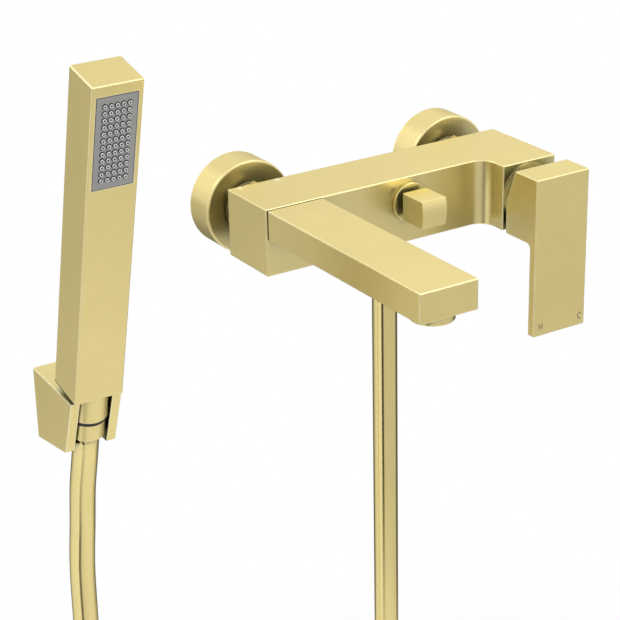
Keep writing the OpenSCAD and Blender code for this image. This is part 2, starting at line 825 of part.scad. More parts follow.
module lever_stem() {
    foot_out = moving_out + 1.6;
    color("silver") from_wall(valve_x, 0) difference() {
        union() {
            translate([-stem_w / 2, -stem_h / 2, pivot_out - 5])
                cube([stem_w, stem_h, stem_end - pivot_out + 5]);
            rod(foot_out, pivot_out - 4, foot_d, small_fn);
        }
        translate([-stem_w, 0, pivot_out]) rotate([0, 90, 0])
            cylinder(d = pin_d + 2 * run, h = 2 * stem_w, $fn = small_fn);
    }
}

// Lever: the side view is drawn once, as distance out and height.
module lever_side() {
    hub_foot = top_z - hub_h;
    blade_back = lever_face - blade_t;
    difference() {
        polygon([[hub_back + hub_slope, top_z], [lever_face, top_z],
            [lever_face, top_z - lever_h], [blade_back, top_z - lever_h],
            [blade_back, hub_foot - hub_r], [blade_back - hub_r, hub_foot],
            [hub_back, hub_foot], [hub_back, 0]]);
        translate([blade_back - hub_r, hub_foot - hub_r]) circle(r = hub_r, $fn = small_fn);
    }
}

module lever() {
    half = lever_w / 2;
    color("khaki") difference() {
        intersection() {
            translate([valve_x - half, 0, 0]) rotate([90, 0, 90])
                linear_extrude(lever_w) mirror([1, 0]) lever_side();
            eased_block([valve_x - half, valve_x + half], [hub_back - 5, lever_face],
                [top_z - lever_h, top_z]);
        }
        from_wall(valve_x, 0) {
            rotate_extrude($fn = 96) polygon(concat([[0, pivot_out]],
                dome_points(dome_r + dome_clear, dome_r + dome_clear, 0)));
            translate([-stem_w / 2 - fit, -stem_h / 2 - fit, pivot_out])
                cube([stem_w + 2 * fit, stem_h + 2 * fit, stem_end + fit - pivot_out]);
        }
        translate([valve_x, -screw_out, top_z - hub_h - 1])
            cylinder(d = grub_d + 2 * fit, h = hub_h - top_z - stem_h / 2 + 1, $fn = small_fn);
    }
}

module lever_grub_screw() {
    head = -stem_h / 2 - fit;
    color("silver") translate([valve_x, -screw_out, 0]) difference() {
        rod(head - grub_len, head, grub_d, small_fn);
        rod(head - grub_len - 1, head - grub_len + 2.5, 2.8, 6);
    }
}

module lever_plug() {
    foot = top_z - hub_h;
    color("darkkhaki") translate([valve_x, -screw_out, foot]) {
        rod(0, 3.5, grub_d, small_fn);
        rod(-0.4, 0, grub_d + 1.4, small_fn);
    }
}

// Diverter

module diverter_plate() {
    color("darkkhaki") from_wall(diverter_x, diverter_z) difference() {
        union() {
            rotate_extrude($fn = round_fn) polygon([[0, bar_face], [plate_d / 2, bar_face],
                [plate_d / 2, bar_face + plate_t - 0.4], [plate_d / 2 - 0.4, bar_face + plate_t],
                [0, bar_face + plate_t]]);
            rod(spigot_end, bar_face + 0.5, chamber_d - 2 * fit);
        }
        rod(spigot_end - 1, bar_face + plate_t + 1, stem_d + 2 * run);
        rod(spigot_end - 1, spring_seat, chamber_d - 3);
        for (turn = [0, 90]) rotate([0, 0, turn]) translate([-chamber_d, 0, spout_side])
            rotate([0, 90, 0]) cylinder(d = gallery_d - 1, h = 2 * chamber_d, $fn = small_fn);
        ring(stem_seal_out - 0.6, stem_seal_out + 0.6, stem_d + 2.2, stem_d - 1);
    }
}

module diverter_seat() {
    color("goldenrod") from_wall(diverter_x, diverter_z)
        ring(diverter_seat_out, diverter_seat_out + seat_t, chamber_d - 2 * fit, stem_d + 3);
}

module diverter_stem() {
    color("silver") from_wall(diverter_x, diverter_z)
        rod(head_out - 1, knob_back + knob_grip - fit, stem_d);
}

module diverter_seal() {
    color("dimgray") from_wall(diverter_x, diverter_z) o_ring(stem_seal_out, stem_d + 1.1, 1);
}

module diverter_head() {
    color("dimgray") from_wall(diverter_x, diverter_z)
        ring(head_out, head_out + head_t, head_d, stem_d + 2 * fit);
}

module diverter_spring() {
    from = head_out + head_t + free + spring_wire / 2;
    to = spring_seat - free - spring_wire / 2;
    middle_r = (stem_d + spring_wire) / 2 + 0.6;
    steps = spring_turns * 12;
    color("silver") sweep([for (k = [0 : steps]) let (a = 360 * spring_turns * k / steps)
        [diverter_x + middle_r * cos(a), -from - (to - from) * k / steps,
            diverter_z + middle_r * sin(a)]], spring_wire, 6);
}

module diverter_knob() {
    half = knob_w / 2;
    bow_r = (half * half + knob_dome * knob_dome) / (2 * knob_dome);
    color("khaki") difference() {
        intersection() {
            eased_block([diverter_x - half, diverter_x + half],
                [knob_back, knob_face + knob_dome + 1], [diverter_z - half, diverter_z + half]);
            translate([diverter_x - knob_w, -(knob_face + knob_dome - bow_r), diverter_z])
                rotate([0, 90, 0]) cylinder(r = bow_r, h = 2 * knob_w, $fn = 96);
        }
        from_wall(diverter_x, diverter_z) rod(knob_back - 1, knob_back + knob_grip, stem_d + 2 * fit);
    }
}

// Shower outlet and the hose end that screws to it

module at_outlet() {
    translate([outlet_x, -outlet_out, 0]) children();
}

module outlet_nipple() {
    color("goldenrod") at_outlet() difference() {
        union() {
            rod(body_foot, body_foot + outlet_grip, half_inch_d - 3);
            rod(body_foot - outlet_flange_t, body_foot, outlet_flange_d);
            rod(outlet_foot, body_foot - outlet_flange_t, half_inch_d);
        }
        rod(outlet_foot - 1, body_foot + outlet_grip + 1, outlet_bore);
    }
}

module hose_nut() {
    head = body_foot - outlet_flange_t - 0.6;
    color("darkkhaki") at_outlet() difference() {
        hex_nut(hose_nut_foot, head, hose_nut_flats, 0);
        rod(hose_nut_foot + hose_nut_lip, head + 1, half_inch_d + 2 * fit);
        rod(hose_nut_foot - 1, head, hose_d - 1.6 + 2 * run);
    }
}

module hose_washer_mixer() {
    color("dimgray") at_outlet()
        ring(outlet_foot - hose_washer_t, outlet_foot, half_inch_d - 0.6, outlet_bore);
}

module hose_ferrule_mixer() {
    top = outlet_foot - hose_washer_t;
    color("goldenrod") at_outlet() difference() {
        union() {
            rod(top - ferrule_flange_t, top, half_inch_d - 0.4);
            rod(ferrule_foot, top - ferrule_flange_t, hose_d - 1.6);
        }
        rod(ferrule_foot - 1, top + 1, ferrule_bore);
    }
}

module shower_hose() {
    color("khaki") sweep(hose_route, hose_d, 12);
}

// Wall bracket

module bracket_side() {
    polygon([[0, bracket_head], [bracket_top, bracket_head - bracket_fall],
        [bracket_foot, bracket_head - bracket_h + bracket_rise], [0, bracket_head - bracket_h]]);
}

module bracket() {
    color("darkkhaki") difference() {
        intersection() {
            translate([hand_x - bracket_w / 2, 0, 0]) rotate([90, 0, 90])
                linear_extrude(bracket_w) mirror([1, 0]) bracket_side();
            eased_block([hand_x - bracket_w / 2, hand_x + bracket_w / 2],
                [0, bracket_top + 2 * edge],
                [bracket_head - bracket_h - edge, bracket_head + edge]);
        }
        on_handset() {
            rod(nut_foot, hand_len / 4, holder_d);
            rod(-2 * bracket_h, nut_foot + 1, holder_low_d);
            translate([-slot_w / 2, -bracket_top, -2 * bracket_h])
                cube([slot_w, bracket_top, 3 * bracket_h]);
        }
        for (side = [-1, 1]) from_wall(hand_x, screw_mid + side * screw_pitch / 2) {
            rod(-1, screw_seat + 1, shank_d + 0.6, small_fn);
            rod(screw_seat, hand_out, pan_d + 1, small_fn);
        }
    }
}

module bracket_screws() {
    color("silver") for (side = [-1, 1])
        from_wall(hand_x, screw_mid + side * screw_pitch / 2) difference() {
            union() {
                rod(screw_seat, screw_seat + pan_t, pan_d, small_fn);
                rod(0, screw_seat, shank_d, small_fn);
                rod(-wall_screw_len + 4, 0, wall_screw_d, small_fn);
                translate([0, 0, -wall_screw_len])
                    cylinder(d1 = 1, d2 = wall_screw_d, h = 4, $fn = small_fn);
            }
            for (turn = [0, 90]) rotate([0, 0, turn])
                translate([-2, -0.5, screw_seat + pan_t - 1.2]) cube([4, 1, 2]);
        }
}

// Hose end at the handset

module hose_ferrule_handset() {
    color("goldenrod") on_handset() difference() {
        union() {
            rod(flange_foot, washer_foot, half_inch_d - 0.4);
            rod(collar_foot, flange_foot, hose_d - 1.6);
        }
        rod(collar_foot - 1, washer_foot + 1, ferrule_bore);
    }
}

module swivel_collar() {
    color("khaki") on_handset() difference() {
        rotate_extrude($fn = round_fn) polygon([[0, collar_foot], [collar_d / 2 - 0.5, collar_foot],
            [collar_d / 2, collar_foot + 0.5], [collar_d / 2, collar_head - 0.5],
            [collar_d / 2 - 0.5, collar_head], [0, collar_head]]);
        rod(collar_foot - 1, collar_head + 1, hose_d - 1.6 + 2 * fit);
    }
}

module cone_nut() {
    foot = -cone_nut_len;
    color("khaki") on_handset() difference() {
        rotate_extrude($fn = round_fn) polygon([[0, foot], [cone_nut_d / 2 - 0.5, foot],
            [cone_nut_d / 2, foot + 0.5], [cone_nut_d / 2, -free], [0, -free]]);
        rod(flange_foot - ferrule_gap, 1, half_inch_d + 2 * fit);
        rod(foot - 1, 0, hose_d - 1.6 + 2 * run);
    }
}

module hose_washer_handset() {
    color("dimgray") on_handset()
        ring(washer_foot + run, -inlet_len, half_inch_d - 0.6, outlet_bore);
}

// Handset

// The handset front is the local minus Y side.
module spray_space(w, l, from, to) {
    translate([-w / 2, -from, spray_mid - l / 2]) cube([w, from - to, l]);
}

module handset_shell() {
    front = hand_t / 2;
    color("khaki") on_handset() difference() {
        translate([0, 0, hand_len / 2]) eased_box(hand_w, hand_t, hand_len);
        translate([-hand_w / 2 + hand_wall, -hand_t / 2 + hand_wall, -1])
            cube([hand_w - 2 * hand_wall, hand_t - 2 * hand_wall, hand_len - hand_wall + 1]);
        spray_space(spray_w + 2 * fit, spray_len + 2 * fit, front + 1, front - hand_wall - 1);
    }
}

module handset_inlet() {
    w = hand_w - 2 * hand_wall - 2 * fit;
    t = hand_t - 2 * hand_wall - 2 * fit;
    color("goldenrod") on_handset() difference() {
        union() {
            translate([-w / 2, -t / 2, 0]) cube([w, t, base_plate_t]);
            rod(-inlet_len, 0.5, half_inch_d);
            rod(base_plate_t - 0.5, base_plate_t + 6, pipe_d + 3);
        }
        rod(-inlet_len - 1, base_plate_t + 3, outlet_bore - 3);
        rod(base_plate_t, base_plate_t + 7, pipe_d + 2 * fit);
    }
}

// The pipe carries the water up inside the stick to the spray chamber.
module handset_pipe() {
    color("whitesmoke") on_handset()
        ring(base_plate_t, spray_foot + 6, pipe_d, pipe_bore);
}

module spray_chamber() {
    front = hand_t / 2 - spray_t - mat_t;
    w = spray_w - 1;
    l = spray_len - 1;
    color("whitesmoke") on_handset() difference() {
        union() {
            spray_space(w, l, front, front - chamber_t);
            rod(spray_foot - 6, spray_foot + 9, pipe_d + 4);
        }
        spray_space(w - 3, l - 3, front + 1, front - chamber_t + 1.5);
        rod(spray_foot - 7, spray_foot + 6 + free, pipe_d + 2 * fit);
        rod(spray_foot, spray_foot + 7.5, pipe_bore);
    }
}

module at_nozzles() {
    for (i = [0 : nozzle_cols - 1], j = [0 : nozzle_rows - 1])
        translate([(i - (nozzle_cols - 1) / 2) * nozzle_dx, 0,
            spray_mid + (j - (nozzle_rows - 1) / 2) * nozzle_dz])
            rotate([90, 0, 0]) children();
}

// A soft mat whose nozzles stand through the spray plate, each with its own jet hole.
module nozzle_mat() {
    face = hand_t / 2;
    back = face - spray_t - mat_t;
    r = nozzle_d / 2;
    color("lightgray") on_handset() difference() {
        union() {
            spray_space(spray_w - 1, spray_len - 1, back + mat_t, back);
            at_nozzles() rotate_extrude($fn = 16) polygon([[0, back + 0.5], [r, back + 0.5],
                [r, face + nozzle_show - 0.5], [r - 0.5, face + nozzle_show],
                [0, face + nozzle_show]]);
        }
        at_nozzles() translate([0, 0, back - 1])
            cylinder(d = 0.8, h = spray_t + mat_t + nozzle_show + 2, $fn = 16);
    }
}

module spray_plate() {
    face = hand_t / 2;
    color("gray") on_handset() difference() {
        spray_space(spray_w, spray_len, face, face - spray_t);
        at_nozzles() translate([0, 0, face - spray_t - 1])
            cylinder(d = nozzle_d + 0.2, h = spray_t + 2, $fn = 16);
    }
}

mixer_body();
spout();
spout_nipple();
spout_seals();
spout_screws();
aerator_ring();
aerator_grid();
aerator_washer();
wall_union_left();
wall_union_right();
wall_flange_left();
wall_flange_right();
flange_seals();
union_nut_left();
union_nut_right();
union_washer_left();
union_washer_right();
union_tail_left();
union_tail_right();
cartridge_base();
cartridge_seals();
fixed_disc();
cartridge_housing();
retaining_nut();
cartridge_cap();
spindle();
spindle_pin();
moving_disc();
lever_stem();
lever();
lever_grub_screw();
lever_plug();
diverter_plate();
diverter_seat();
diverter_knob();
diverter_stem();
diverter_head();
diverter_seal();
diverter_spring();
outlet_nipple();
hose_nut();
hose_washer_mixer();
hose_ferrule_mixer();
shower_hose();
bracket();
bracket_screws();
hose_ferrule_handset();
swivel_collar();
cone_nut();
hose_washer_handset();
handset_shell();
handset_inlet();
handset_pipe();
spray_chamber();
nozzle_mat();
spray_plate();
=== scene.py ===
"""Looks of a wall mounted bath shower mixer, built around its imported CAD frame."""

import json
import math

import bpy
import numpy as np
from mathutils import Matrix, Vector


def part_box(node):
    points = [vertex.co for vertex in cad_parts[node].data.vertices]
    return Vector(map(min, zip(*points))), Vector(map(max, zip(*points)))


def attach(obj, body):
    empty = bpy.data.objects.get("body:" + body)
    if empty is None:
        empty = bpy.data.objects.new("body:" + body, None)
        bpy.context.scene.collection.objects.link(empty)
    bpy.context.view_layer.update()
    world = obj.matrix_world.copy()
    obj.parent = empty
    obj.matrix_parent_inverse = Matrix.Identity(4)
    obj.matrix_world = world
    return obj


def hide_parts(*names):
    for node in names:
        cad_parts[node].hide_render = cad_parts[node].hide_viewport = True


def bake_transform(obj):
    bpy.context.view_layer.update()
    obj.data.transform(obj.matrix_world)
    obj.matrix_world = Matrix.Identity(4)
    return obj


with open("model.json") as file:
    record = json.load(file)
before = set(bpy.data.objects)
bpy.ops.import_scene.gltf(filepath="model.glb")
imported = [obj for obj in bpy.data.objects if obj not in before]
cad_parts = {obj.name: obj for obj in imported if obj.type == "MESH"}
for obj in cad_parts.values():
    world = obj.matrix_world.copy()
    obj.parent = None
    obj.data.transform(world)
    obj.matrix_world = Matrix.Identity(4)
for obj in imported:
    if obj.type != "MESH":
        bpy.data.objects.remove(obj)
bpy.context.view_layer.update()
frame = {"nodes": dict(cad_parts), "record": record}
NODES = frame["nodes"]

# Ways in the frame: to the right, up, and out of the wall
RIGHT, UP, OUT = (1, 0, 0), (0, 0, 1), (0, -1, 0)

# Camera, fitted to the photograph

AZIMUTH = math.radians(-31.94)
ELEVATION = math.radians(23.22)
ROLL = math.radians(-1.28)
LENS_MM = 113.97
SENSOR_MM = 36
CAMERA_PLACE = Vector((-0.6416, -0.9973, 0.41435))
CLIP_NEAR, CLIP_FAR = 0.05, 50


def pointing(turn, lift):
    """The way that points turn to the right of the front and lift above the level."""
    return Vector((math.sin(turn) * math.cos(lift), -math.cos(turn) * math.cos(lift),
                   math.sin(lift)))


def make_camera():
    back = pointing(AZIMUTH, ELEVATION)
    right = Vector((math.cos(AZIMUTH), math.sin(AZIMUTH), 0))
    above = back.cross(right)
    turned_right = math.cos(ROLL) * right + math.sin(ROLL) * above
    turned_up = -math.sin(ROLL) * right + math.cos(ROLL) * above
    spin = Matrix((turned_right, turned_up, back)).transposed()
    camera = bpy.data.objects.new("camera", bpy.data.cameras.new("camera"))
    camera.data.lens = LENS_MM
    camera.data.sensor_width = SENSOR_MM
    camera.data.clip_start = CLIP_NEAR
    camera.data.clip_end = CLIP_FAR
    camera.matrix_world = Matrix.Translation(CAMERA_PLACE) @ spin.to_4x4()
    bpy.context.scene.collection.objects.link(camera)
    bpy.context.scene.camera = camera


# Nodes that the materials share

WHITE, BLACK = (1, 1, 1), (0, 0, 0)
NOISE_DETAIL = 3
NOISE_LOW, NOISE_HIGH = 0.3, 0.7
# Red and blue shares of the tint of the painted shade in seams and corners
CREVICE_SHADE_RED, CREVICE_SHADE_BLUE = 0.92, 1.1
CLOSED_IN_SAMPLES = 8
BEVEL_SAMPLES = 4
EDGE_SAMPLES = 6
EDGE_FULL, EDGE_NONE = 0.62, 0.93


def new_material(name):
    material = bpy.data.materials.new(name)
    material.use_nodes = True
    tree = material.node_tree
    return material, tree, tree.nodes["Principled BSDF"]


def link(tree, source, target):
    tree.links.new(source, target)


def noise(tree, scale, rough):
    """Noise in the frame of the part, so that its grain has its real size."""
    coords = tree.nodes.new("ShaderNodeTexCoord")
    texture = tree.nodes.new("ShaderNodeTexNoise")
    texture.inputs["Scale"].default_value = scale
    texture.inputs["Detail"].default_value = NOISE_DETAIL
    texture.inputs["Roughness"].default_value = rough
    link(tree, coords.outputs["Object"], texture.inputs["Vector"])
    return texture.outputs["Fac"]


def ramp(tree, value, stops):
    node = tree.nodes.new("ShaderNodeValToRGB")
    while len(node.color_ramp.elements) < len(stops):
        node.color_ramp.elements.new(0.5)
    for element, (place, colour) in zip(node.color_ramp.elements, stops):
        element.position = place
        element.color = (*colour, 1)
    link(tree, value, node.inputs["Fac"])
    return node.outputs["Color"]


def two_tones(tree, value, low, high):
    """A colour that goes from low to high with a noise, which seldom leaves its middle."""
    return ramp(tree, value, [(NOISE_LOW, low), (NOISE_HIGH, high)])


def remap(tree, value, low, high):
    node = tree.nodes.new("ShaderNodeMapRange")
    node.inputs["To Min"].default_value = low
    node.inputs["To Max"].default_value = high
    link(tree, value, node.inputs["Value"])
    return node.outputs["Result"]


def bump(tree, value, distance, normal=None):
    node = tree.nodes.new("ShaderNodeBump")
    if normal:
        link(tree, normal, node.inputs["Normal"])
    node.inputs["Distance"].default_value = distance
    link(tree, value, node.inputs["Height"])
    return node.outputs["Normal"]


def shade(colour, factor):
    return tuple(c * factor for c in colour)


def multiply(tree, a, b):
    node = tree.nodes.new("ShaderNodeMix")
    node.data_type = "RGBA"
    node.blend_type = "MULTIPLY"
    node.inputs["Factor"].default_value = 1
    link(tree, a, node.inputs["A"])
    link(tree, b, node.inputs["B"])
    return node.outputs["Result"]


def blend_in(tree, amount, base, colour):
    node = tree.nodes.new("ShaderNodeMix")
    node.data_type = "RGBA"
    node.inputs["B"].default_value = (*colour, 1)
    link(tree, amount, node.inputs["Factor"])
    link(tree, base, node.inputs["A"])
    return node.outputs["Result"]


def closed_in(tree, reach, tint, closed, open_at):
    """A painted shade or painted reflection tint for places that other pieces close in within
    reach. It is white in the open.
    """
    node = tree.nodes.new("ShaderNodeAmbientOcclusion")
    node.samples = CLOSED_IN_SAMPLES
    node.inputs["Distance"].default_value = reach
    return ramp(tree, node.outputs["AO"], [(closed, tint), (open_at, WHITE)])


def crevice_shade(tree, reach, darkest, closed=0.1, open_at=0.7, blue=CREVICE_SHADE_BLUE):
    """Painted shade for seams and corners, where other pieces close in."""
    tint = (darkest * CREVICE_SHADE_RED, darkest, darkest * blue)
    return closed_in(tree, reach, tint, closed, open_at)


def soft_edges(tree, radius):
    node = tree.nodes.new("ShaderNodeBevel")
    node.samples = BEVEL_SAMPLES
    node.inputs["Radius"].default_value = radius
    return node.outputs["Normal"]


def edge_mask(tree, reach):
    """1 on outer edges and 0 on flat faces, from how thin the metal is under the surface. It
    places the painted highlight on edges.
    """
    node = tree.nodes.new("ShaderNodeAmbientOcclusion")
    node.samples = EDGE_SAMPLES
    node.inside = True
    node.only_local = True
    node.inputs["Distance"].default_value = reach
    return ramp(tree, node.outputs["AO"], [(EDGE_FULL, WHITE), (EDGE_NONE, BLACK)])


def along(tree, way, start):
    """How far a point lies from a plane through start, square to way."""
    coords = tree.nodes.new("ShaderNodeTexCoord")
    node = tree.nodes.new("ShaderNodeVectorMath")
    node.operation = "DOT_PRODUCT"
    node.inputs[1].default_value = way
    link(tree, coords.outputs["Object"], node.inputs[0])
    less = tree.nodes.new("ShaderNodeMath")
    less.operation = "SUBTRACT"
    less.inputs[1].default_value = Vector(way).dot(Vector(start))
    link(tree, node.outputs["Value"], less.inputs[0])
    return less.outputs["Value"]


# Brass. Noise scales are per metre, and reaches are in metres

BRASS = (0.88, 0.735, 0.325)
RAW_BRASS = (0.72, 0.55, 0.25)
# Brass for the cap, darkened by painted shade
SHADED_CAP_BRASS = (0.45, 0.35, 0.09)
# Pale colour of the painted highlight on edges
EDGE_HIGHLIGHT_BRASS = (0.95, 0.87, 0.56)
GLANCING_TINT = (1.0, 0.97, 0.82, 1)
GRAIN_SCALE, GRAIN_ROUGH = 1500, 0.6
CLOUD_SCALE, CLOUD_ROUGH = 28, 0.5
GRAIN_DARK = (0.93, 0.93, 0.93)
CLOUD_DARK, CLOUD_LIGHT = 0.975, 1.02
# Reaches and stops of the painted shade in narrow seams and near other pieces, and of the painted
# reflection tint
SEAM_REACH, SEAM_CLOSED, SEAM_OPEN, SEAM_BLUE = 0.004, 0.08, 0.42, 0.5
NEIGHBOUR_REACH, NEIGHBOUR_CLOSED, NEIGHBOUR_OPEN = 0.06, 0.3, 0.95
EDGE_ROUNDING = 0.0005
# Reach of the edge mask, and metallic level of the painted edge highlight
EDGE_REACH = 0.0011
EDGE_HIGHLIGHT_METALLIC = 0.7


def brass(name, colour, roughness, grain=0.02, bump_m=0.000004, dark=0.3, gap_m=0.02,
          closed=0.1, open_at=0.8, seam=0.04, inner=(0.82, 0.89, 1.12), edge_highlight=True):
    """Satin brass with a fine grain and, by default, a painted highlight on its edges. Painted
    shade darkens it to dark within gap_m of other pieces and to seam in narrow gaps. Where it
    mostly sees other brass it takes the tint inner, a painted reflection tint."""
    material, tree, shader = new_material(name)
    shader.inputs["Specular Tint"].default_value = GLANCING_TINT
    fine = noise(tree, GRAIN_SCALE, GRAIN_ROUGH)
    broad = noise(tree, CLOUD_SCALE, CLOUD_ROUGH)
    tint = two_tones(tree, broad, shade(colour, CLOUD_DARK), shade(colour, CLOUD_LIGHT))
    # Layers: random grain, painted shade near other pieces, painted shade in narrow seams, and a
    # painted reflection tint where the brass sees other brass
    for layer in (two_tones(tree, fine, GRAIN_DARK, WHITE),
                  crevice_shade(tree, gap_m, dark, closed, open_at),
                  crevice_shade(tree, SEAM_REACH, seam, SEAM_CLOSED, SEAM_OPEN, SEAM_BLUE),
                  closed_in(tree, NEIGHBOUR_REACH, inner, NEIGHBOUR_CLOSED, NEIGHBOUR_OPEN)):
        tint = multiply(tree, tint, layer)
    # Painted highlight: outer edges turn pale and less metallic
    if edge_highlight:
        edge = edge_mask(tree, EDGE_REACH)
        tint = blend_in(tree, edge, tint, EDGE_HIGHLIGHT_BRASS)
        link(tree, remap(tree, edge, 1.0, EDGE_HIGHLIGHT_METALLIC), shader.inputs["Metallic"])
    else:
        shader.inputs["Metallic"].default_value = 1
    link(tree, tint, shader.inputs["Base Color"])
    link(tree, remap(tree, fine, roughness - grain, roughness + grain),
         shader.inputs["Roughness"])
    link(tree, bump(tree, fine, bump_m, soft_edges(tree, EDGE_ROUNDING)),
         shader.inputs["Normal"])
    return material


# Rubber, plastic, steel and ceramic

PLAIN_SCALE, PLAIN_ROUGH = 900, 0.55
PLAIN_UNEVEN = 0.05
PLAIN_SPREAD = 0.04
PLAIN_BUMP = 0.00001
# Darkest painted shade in gaps
PLAIN_DARK = 0.3


def plain(name, colour, roughness, metallic=0.0, gap_m=0.004):
    """An even material with a faint grain and painted shade in gaps narrower than gap_m."""
    material, tree, shader = new_material(name)
    shader.inputs["Metallic"].default_value = metallic
    grain = noise(tree, PLAIN_SCALE, PLAIN_ROUGH)
    tint = two_tones(tree, grain, shade(colour, 1 - PLAIN_UNEVEN), shade(colour, 1 + PLAIN_UNEVEN))
    link(tree, multiply(tree, tint, crevice_shade(tree, gap_m, PLAIN_DARK)),
         shader.inputs["Base Color"])
    link(tree, remap(tree, grain, roughness - PLAIN_SPREAD, roughness + PLAIN_SPREAD),
         shader.inputs["Roughness"])
    link(tree, bump(tree, grain, PLAIN_BUMP), shader.inputs["Normal"])
    return material


# Handset, from part.scad: its size and lean, the foot of its axis, its front and its nozzles

HAND_W, HAND_T = 0.031, 0.027
LEAN = math.radians(14)
HANDSET_FOOT = (-0.2005, -0.042, -0.0795)
FACE_WAY = (0, -math.cos(LEAN), -math.sin(LEAN))
RISE_WAY = (0, -math.sin(LEAN), math.cos(LEAN))
FACE_OUT = HAND_T / 2
SPRAY_MID, SPRAY_W, SPRAY_LEN = 0.1745, 0.025, 0.057
NOZZLE_DX, NOZZLE_DZ, NOZZLE_COLS, NOZZLE_ROWS = 0.0037, 0.00415, 5, 12
SPRAY_CENTRE = tuple(Vector(HANDSET_FOOT) + SPRAY_MID * Vector(RISE_WAY))


def from_nozzle(tree):
    """How far a point lies from the axis of the nearest nozzle."""
    spot = tree.nodes.new("ShaderNodeCombineXYZ")
    link(tree, along(tree, RIGHT, SPRAY_CENTRE), spot.inputs["X"])
    link(tree, along(tree, RISE_WAY, SPRAY_CENTRE), spot.inputs["Y"])
    value = spot.outputs["Vector"]
    for step, x, y in (("MULTIPLY", 1 / NOZZLE_DX, 1 / NOZZLE_DZ),
                       ("ADD", NOZZLE_COLS / 2, NOZZLE_ROWS / 2), ("FRACTION", 0, 0),
                       ("SUBTRACT", 0.5, 0.5), ("MULTIPLY", NOZZLE_DX, NOZZLE_DZ)):
        node = tree.nodes.new("ShaderNodeVectorMath")
        node.operation = step
        link(tree, value, node.inputs[0])
        if step != "FRACTION":
            node.inputs[1].default_value = (x, y, 0)
        value = node.outputs["Vector"]
    far = tree.nodes.new("ShaderNodeVectorMath")
    far.operation = "LENGTH"
    link(tree, value, far.inputs[0])
    return far.outputs["Value"]


# Nozzle rubber. Its stops are shares of NOZZLE_REACH

NOZZLE_REACH = 0.0012
NOZZLE_SHADE, NOZZLE_PALE = (0.012,) * 3, (0.80,) * 3
NOZZLE_GRAIN_ROUGH = 0.5
NOZZLE_ROUGHNESS = 0.38, 0.48
NOZZLE_BUMP = 0.000005


def nozzle_rubber():
    """Pale rims, with painted shade in the jets and on the sides."""
    material, tree, shader = new_material("silicone")
    grain = noise(tree, PLAIN_SCALE, NOZZLE_GRAIN_ROUGH)
    far = tree.nodes.new("ShaderNodeMapRange")
    far.inputs["From Max"].default_value = NOZZLE_REACH
    link(tree, from_nozzle(tree), far.inputs["Value"])
    # Painted shade in the jet and on the nozzle's sides, round a pale rim
    tint = ramp(tree, far.outputs["Result"], [(0.50, NOZZLE_SHADE), (0.54, NOZZLE_PALE),
                                              (0.88, NOZZLE_PALE), (0.92, NOZZLE_SHADE)])
    link(tree, tint, shader.inputs["Base Color"])
    link(tree, remap(tree, grain, *NOZZLE_ROUGHNESS), shader.inputs["Roughness"])
    link(tree, bump(tree, grain, NOZZLE_BUMP), shader.inputs["Normal"])
    return material


# Materials, one for each slot of the record, and copies of brass with their own painted shade for
# single nodes

SATIN = 0.32

MATERIALS = {
    "satin_brass": brass("satin_brass", BRASS, SATIN),
    # Copies of satin brass for single nodes, with their own painted shade and painted reflection
    # tint
    "satin_flange": brass("satin_flange", BRASS, 0.34, dark=0.2, gap_m=0.03),
    "satin_plate": brass("satin_plate", BRASS, SATIN, dark=0.5, seam=0.4,
                         inner=(0.93, 0.92, 0.85), edge_highlight=False),
    "satin_knob": brass("satin_knob", BRASS, SATIN, dark=0.5, seam=0.4,
                        inner=(0.74, 0.94, 1.8), edge_highlight=False),
    "satin_lever": brass("satin_lever", BRASS, SATIN, inner=(0.95, 1.18, 2.1)),
    "raw_brass": brass("raw_brass", RAW_BRASS, 0.38, grain=0.05, bump_m=0.00001),
    "satin_hose": brass("satin_hose", BRASS, 0.13, grain=0.01, bump_m=0.000002),
    # The cap's copy has a base colour darkened by painted shade
    "shaded_satin_cap": brass("shaded_satin_cap", SHADED_CAP_BRASS, 0.26, dark=0.06, gap_m=0.03, closed=0.35,
                       open_at=1.0),
    "stainless": plain("stainless", (0.62, 0.61, 0.59), 0.3, metallic=1.0),
    "rubber": plain("rubber", (0.02, 0.02, 0.02), 0.6),
    "silicone": nozzle_rubber(),
    "ceramic": plain("ceramic", (0.85, 0.84, 0.81), 0.12),
    "white_plastic": plain("white_plastic", (0.8, 0.8, 0.78), 0.4),
    "dark_plastic": plain("dark_plastic", (0.03, 0.03, 0.03), 0.35),
    "grey_plastic": plain("grey_plastic", (0.30, 0.30, 0.295), 0.42, gap_m=0.0022),
}

# Nodes whose brass has another depth of shade than the slot's
SHADE_COPIES = {
    "cartridge_cap": "shaded_satin_cap",
    "wall_flange_left": "satin_flange",
    "wall_flange_right": "satin_flange",
    "diverter_plate": "satin_plate",
    "diverter_stem": "satin_plate",
    "diverter_knob": "satin_knob",
    "lever": "satin_lever",
}


def dress_nodes():
    """Gives each CAD node the material of its slot in the record, or its own copy of satin brass
    with its own painted shade.
    """
    for entry in frame["record"]["subparts"]:
        material_name = SHADE_COPIES.get(entry["node"], entry["material_slot"])
        slots = NODES[entry["node"]].data.materials
        slots.clear()
        slots.append(MATERIALS[material_name])


# Meshes that the pieces share. A plane is its origin and its ways across, up and out


def new_object(name, verts, faces):
    mesh = bpy.data.meshes.new(name)
    mesh.from_pydata([tuple(v) for v in verts], [], faces)
    mesh.update()
    made = bpy.data.objects.new(name, mesh)
    bpy.context.scene.collection.objects.link(made)
    return made


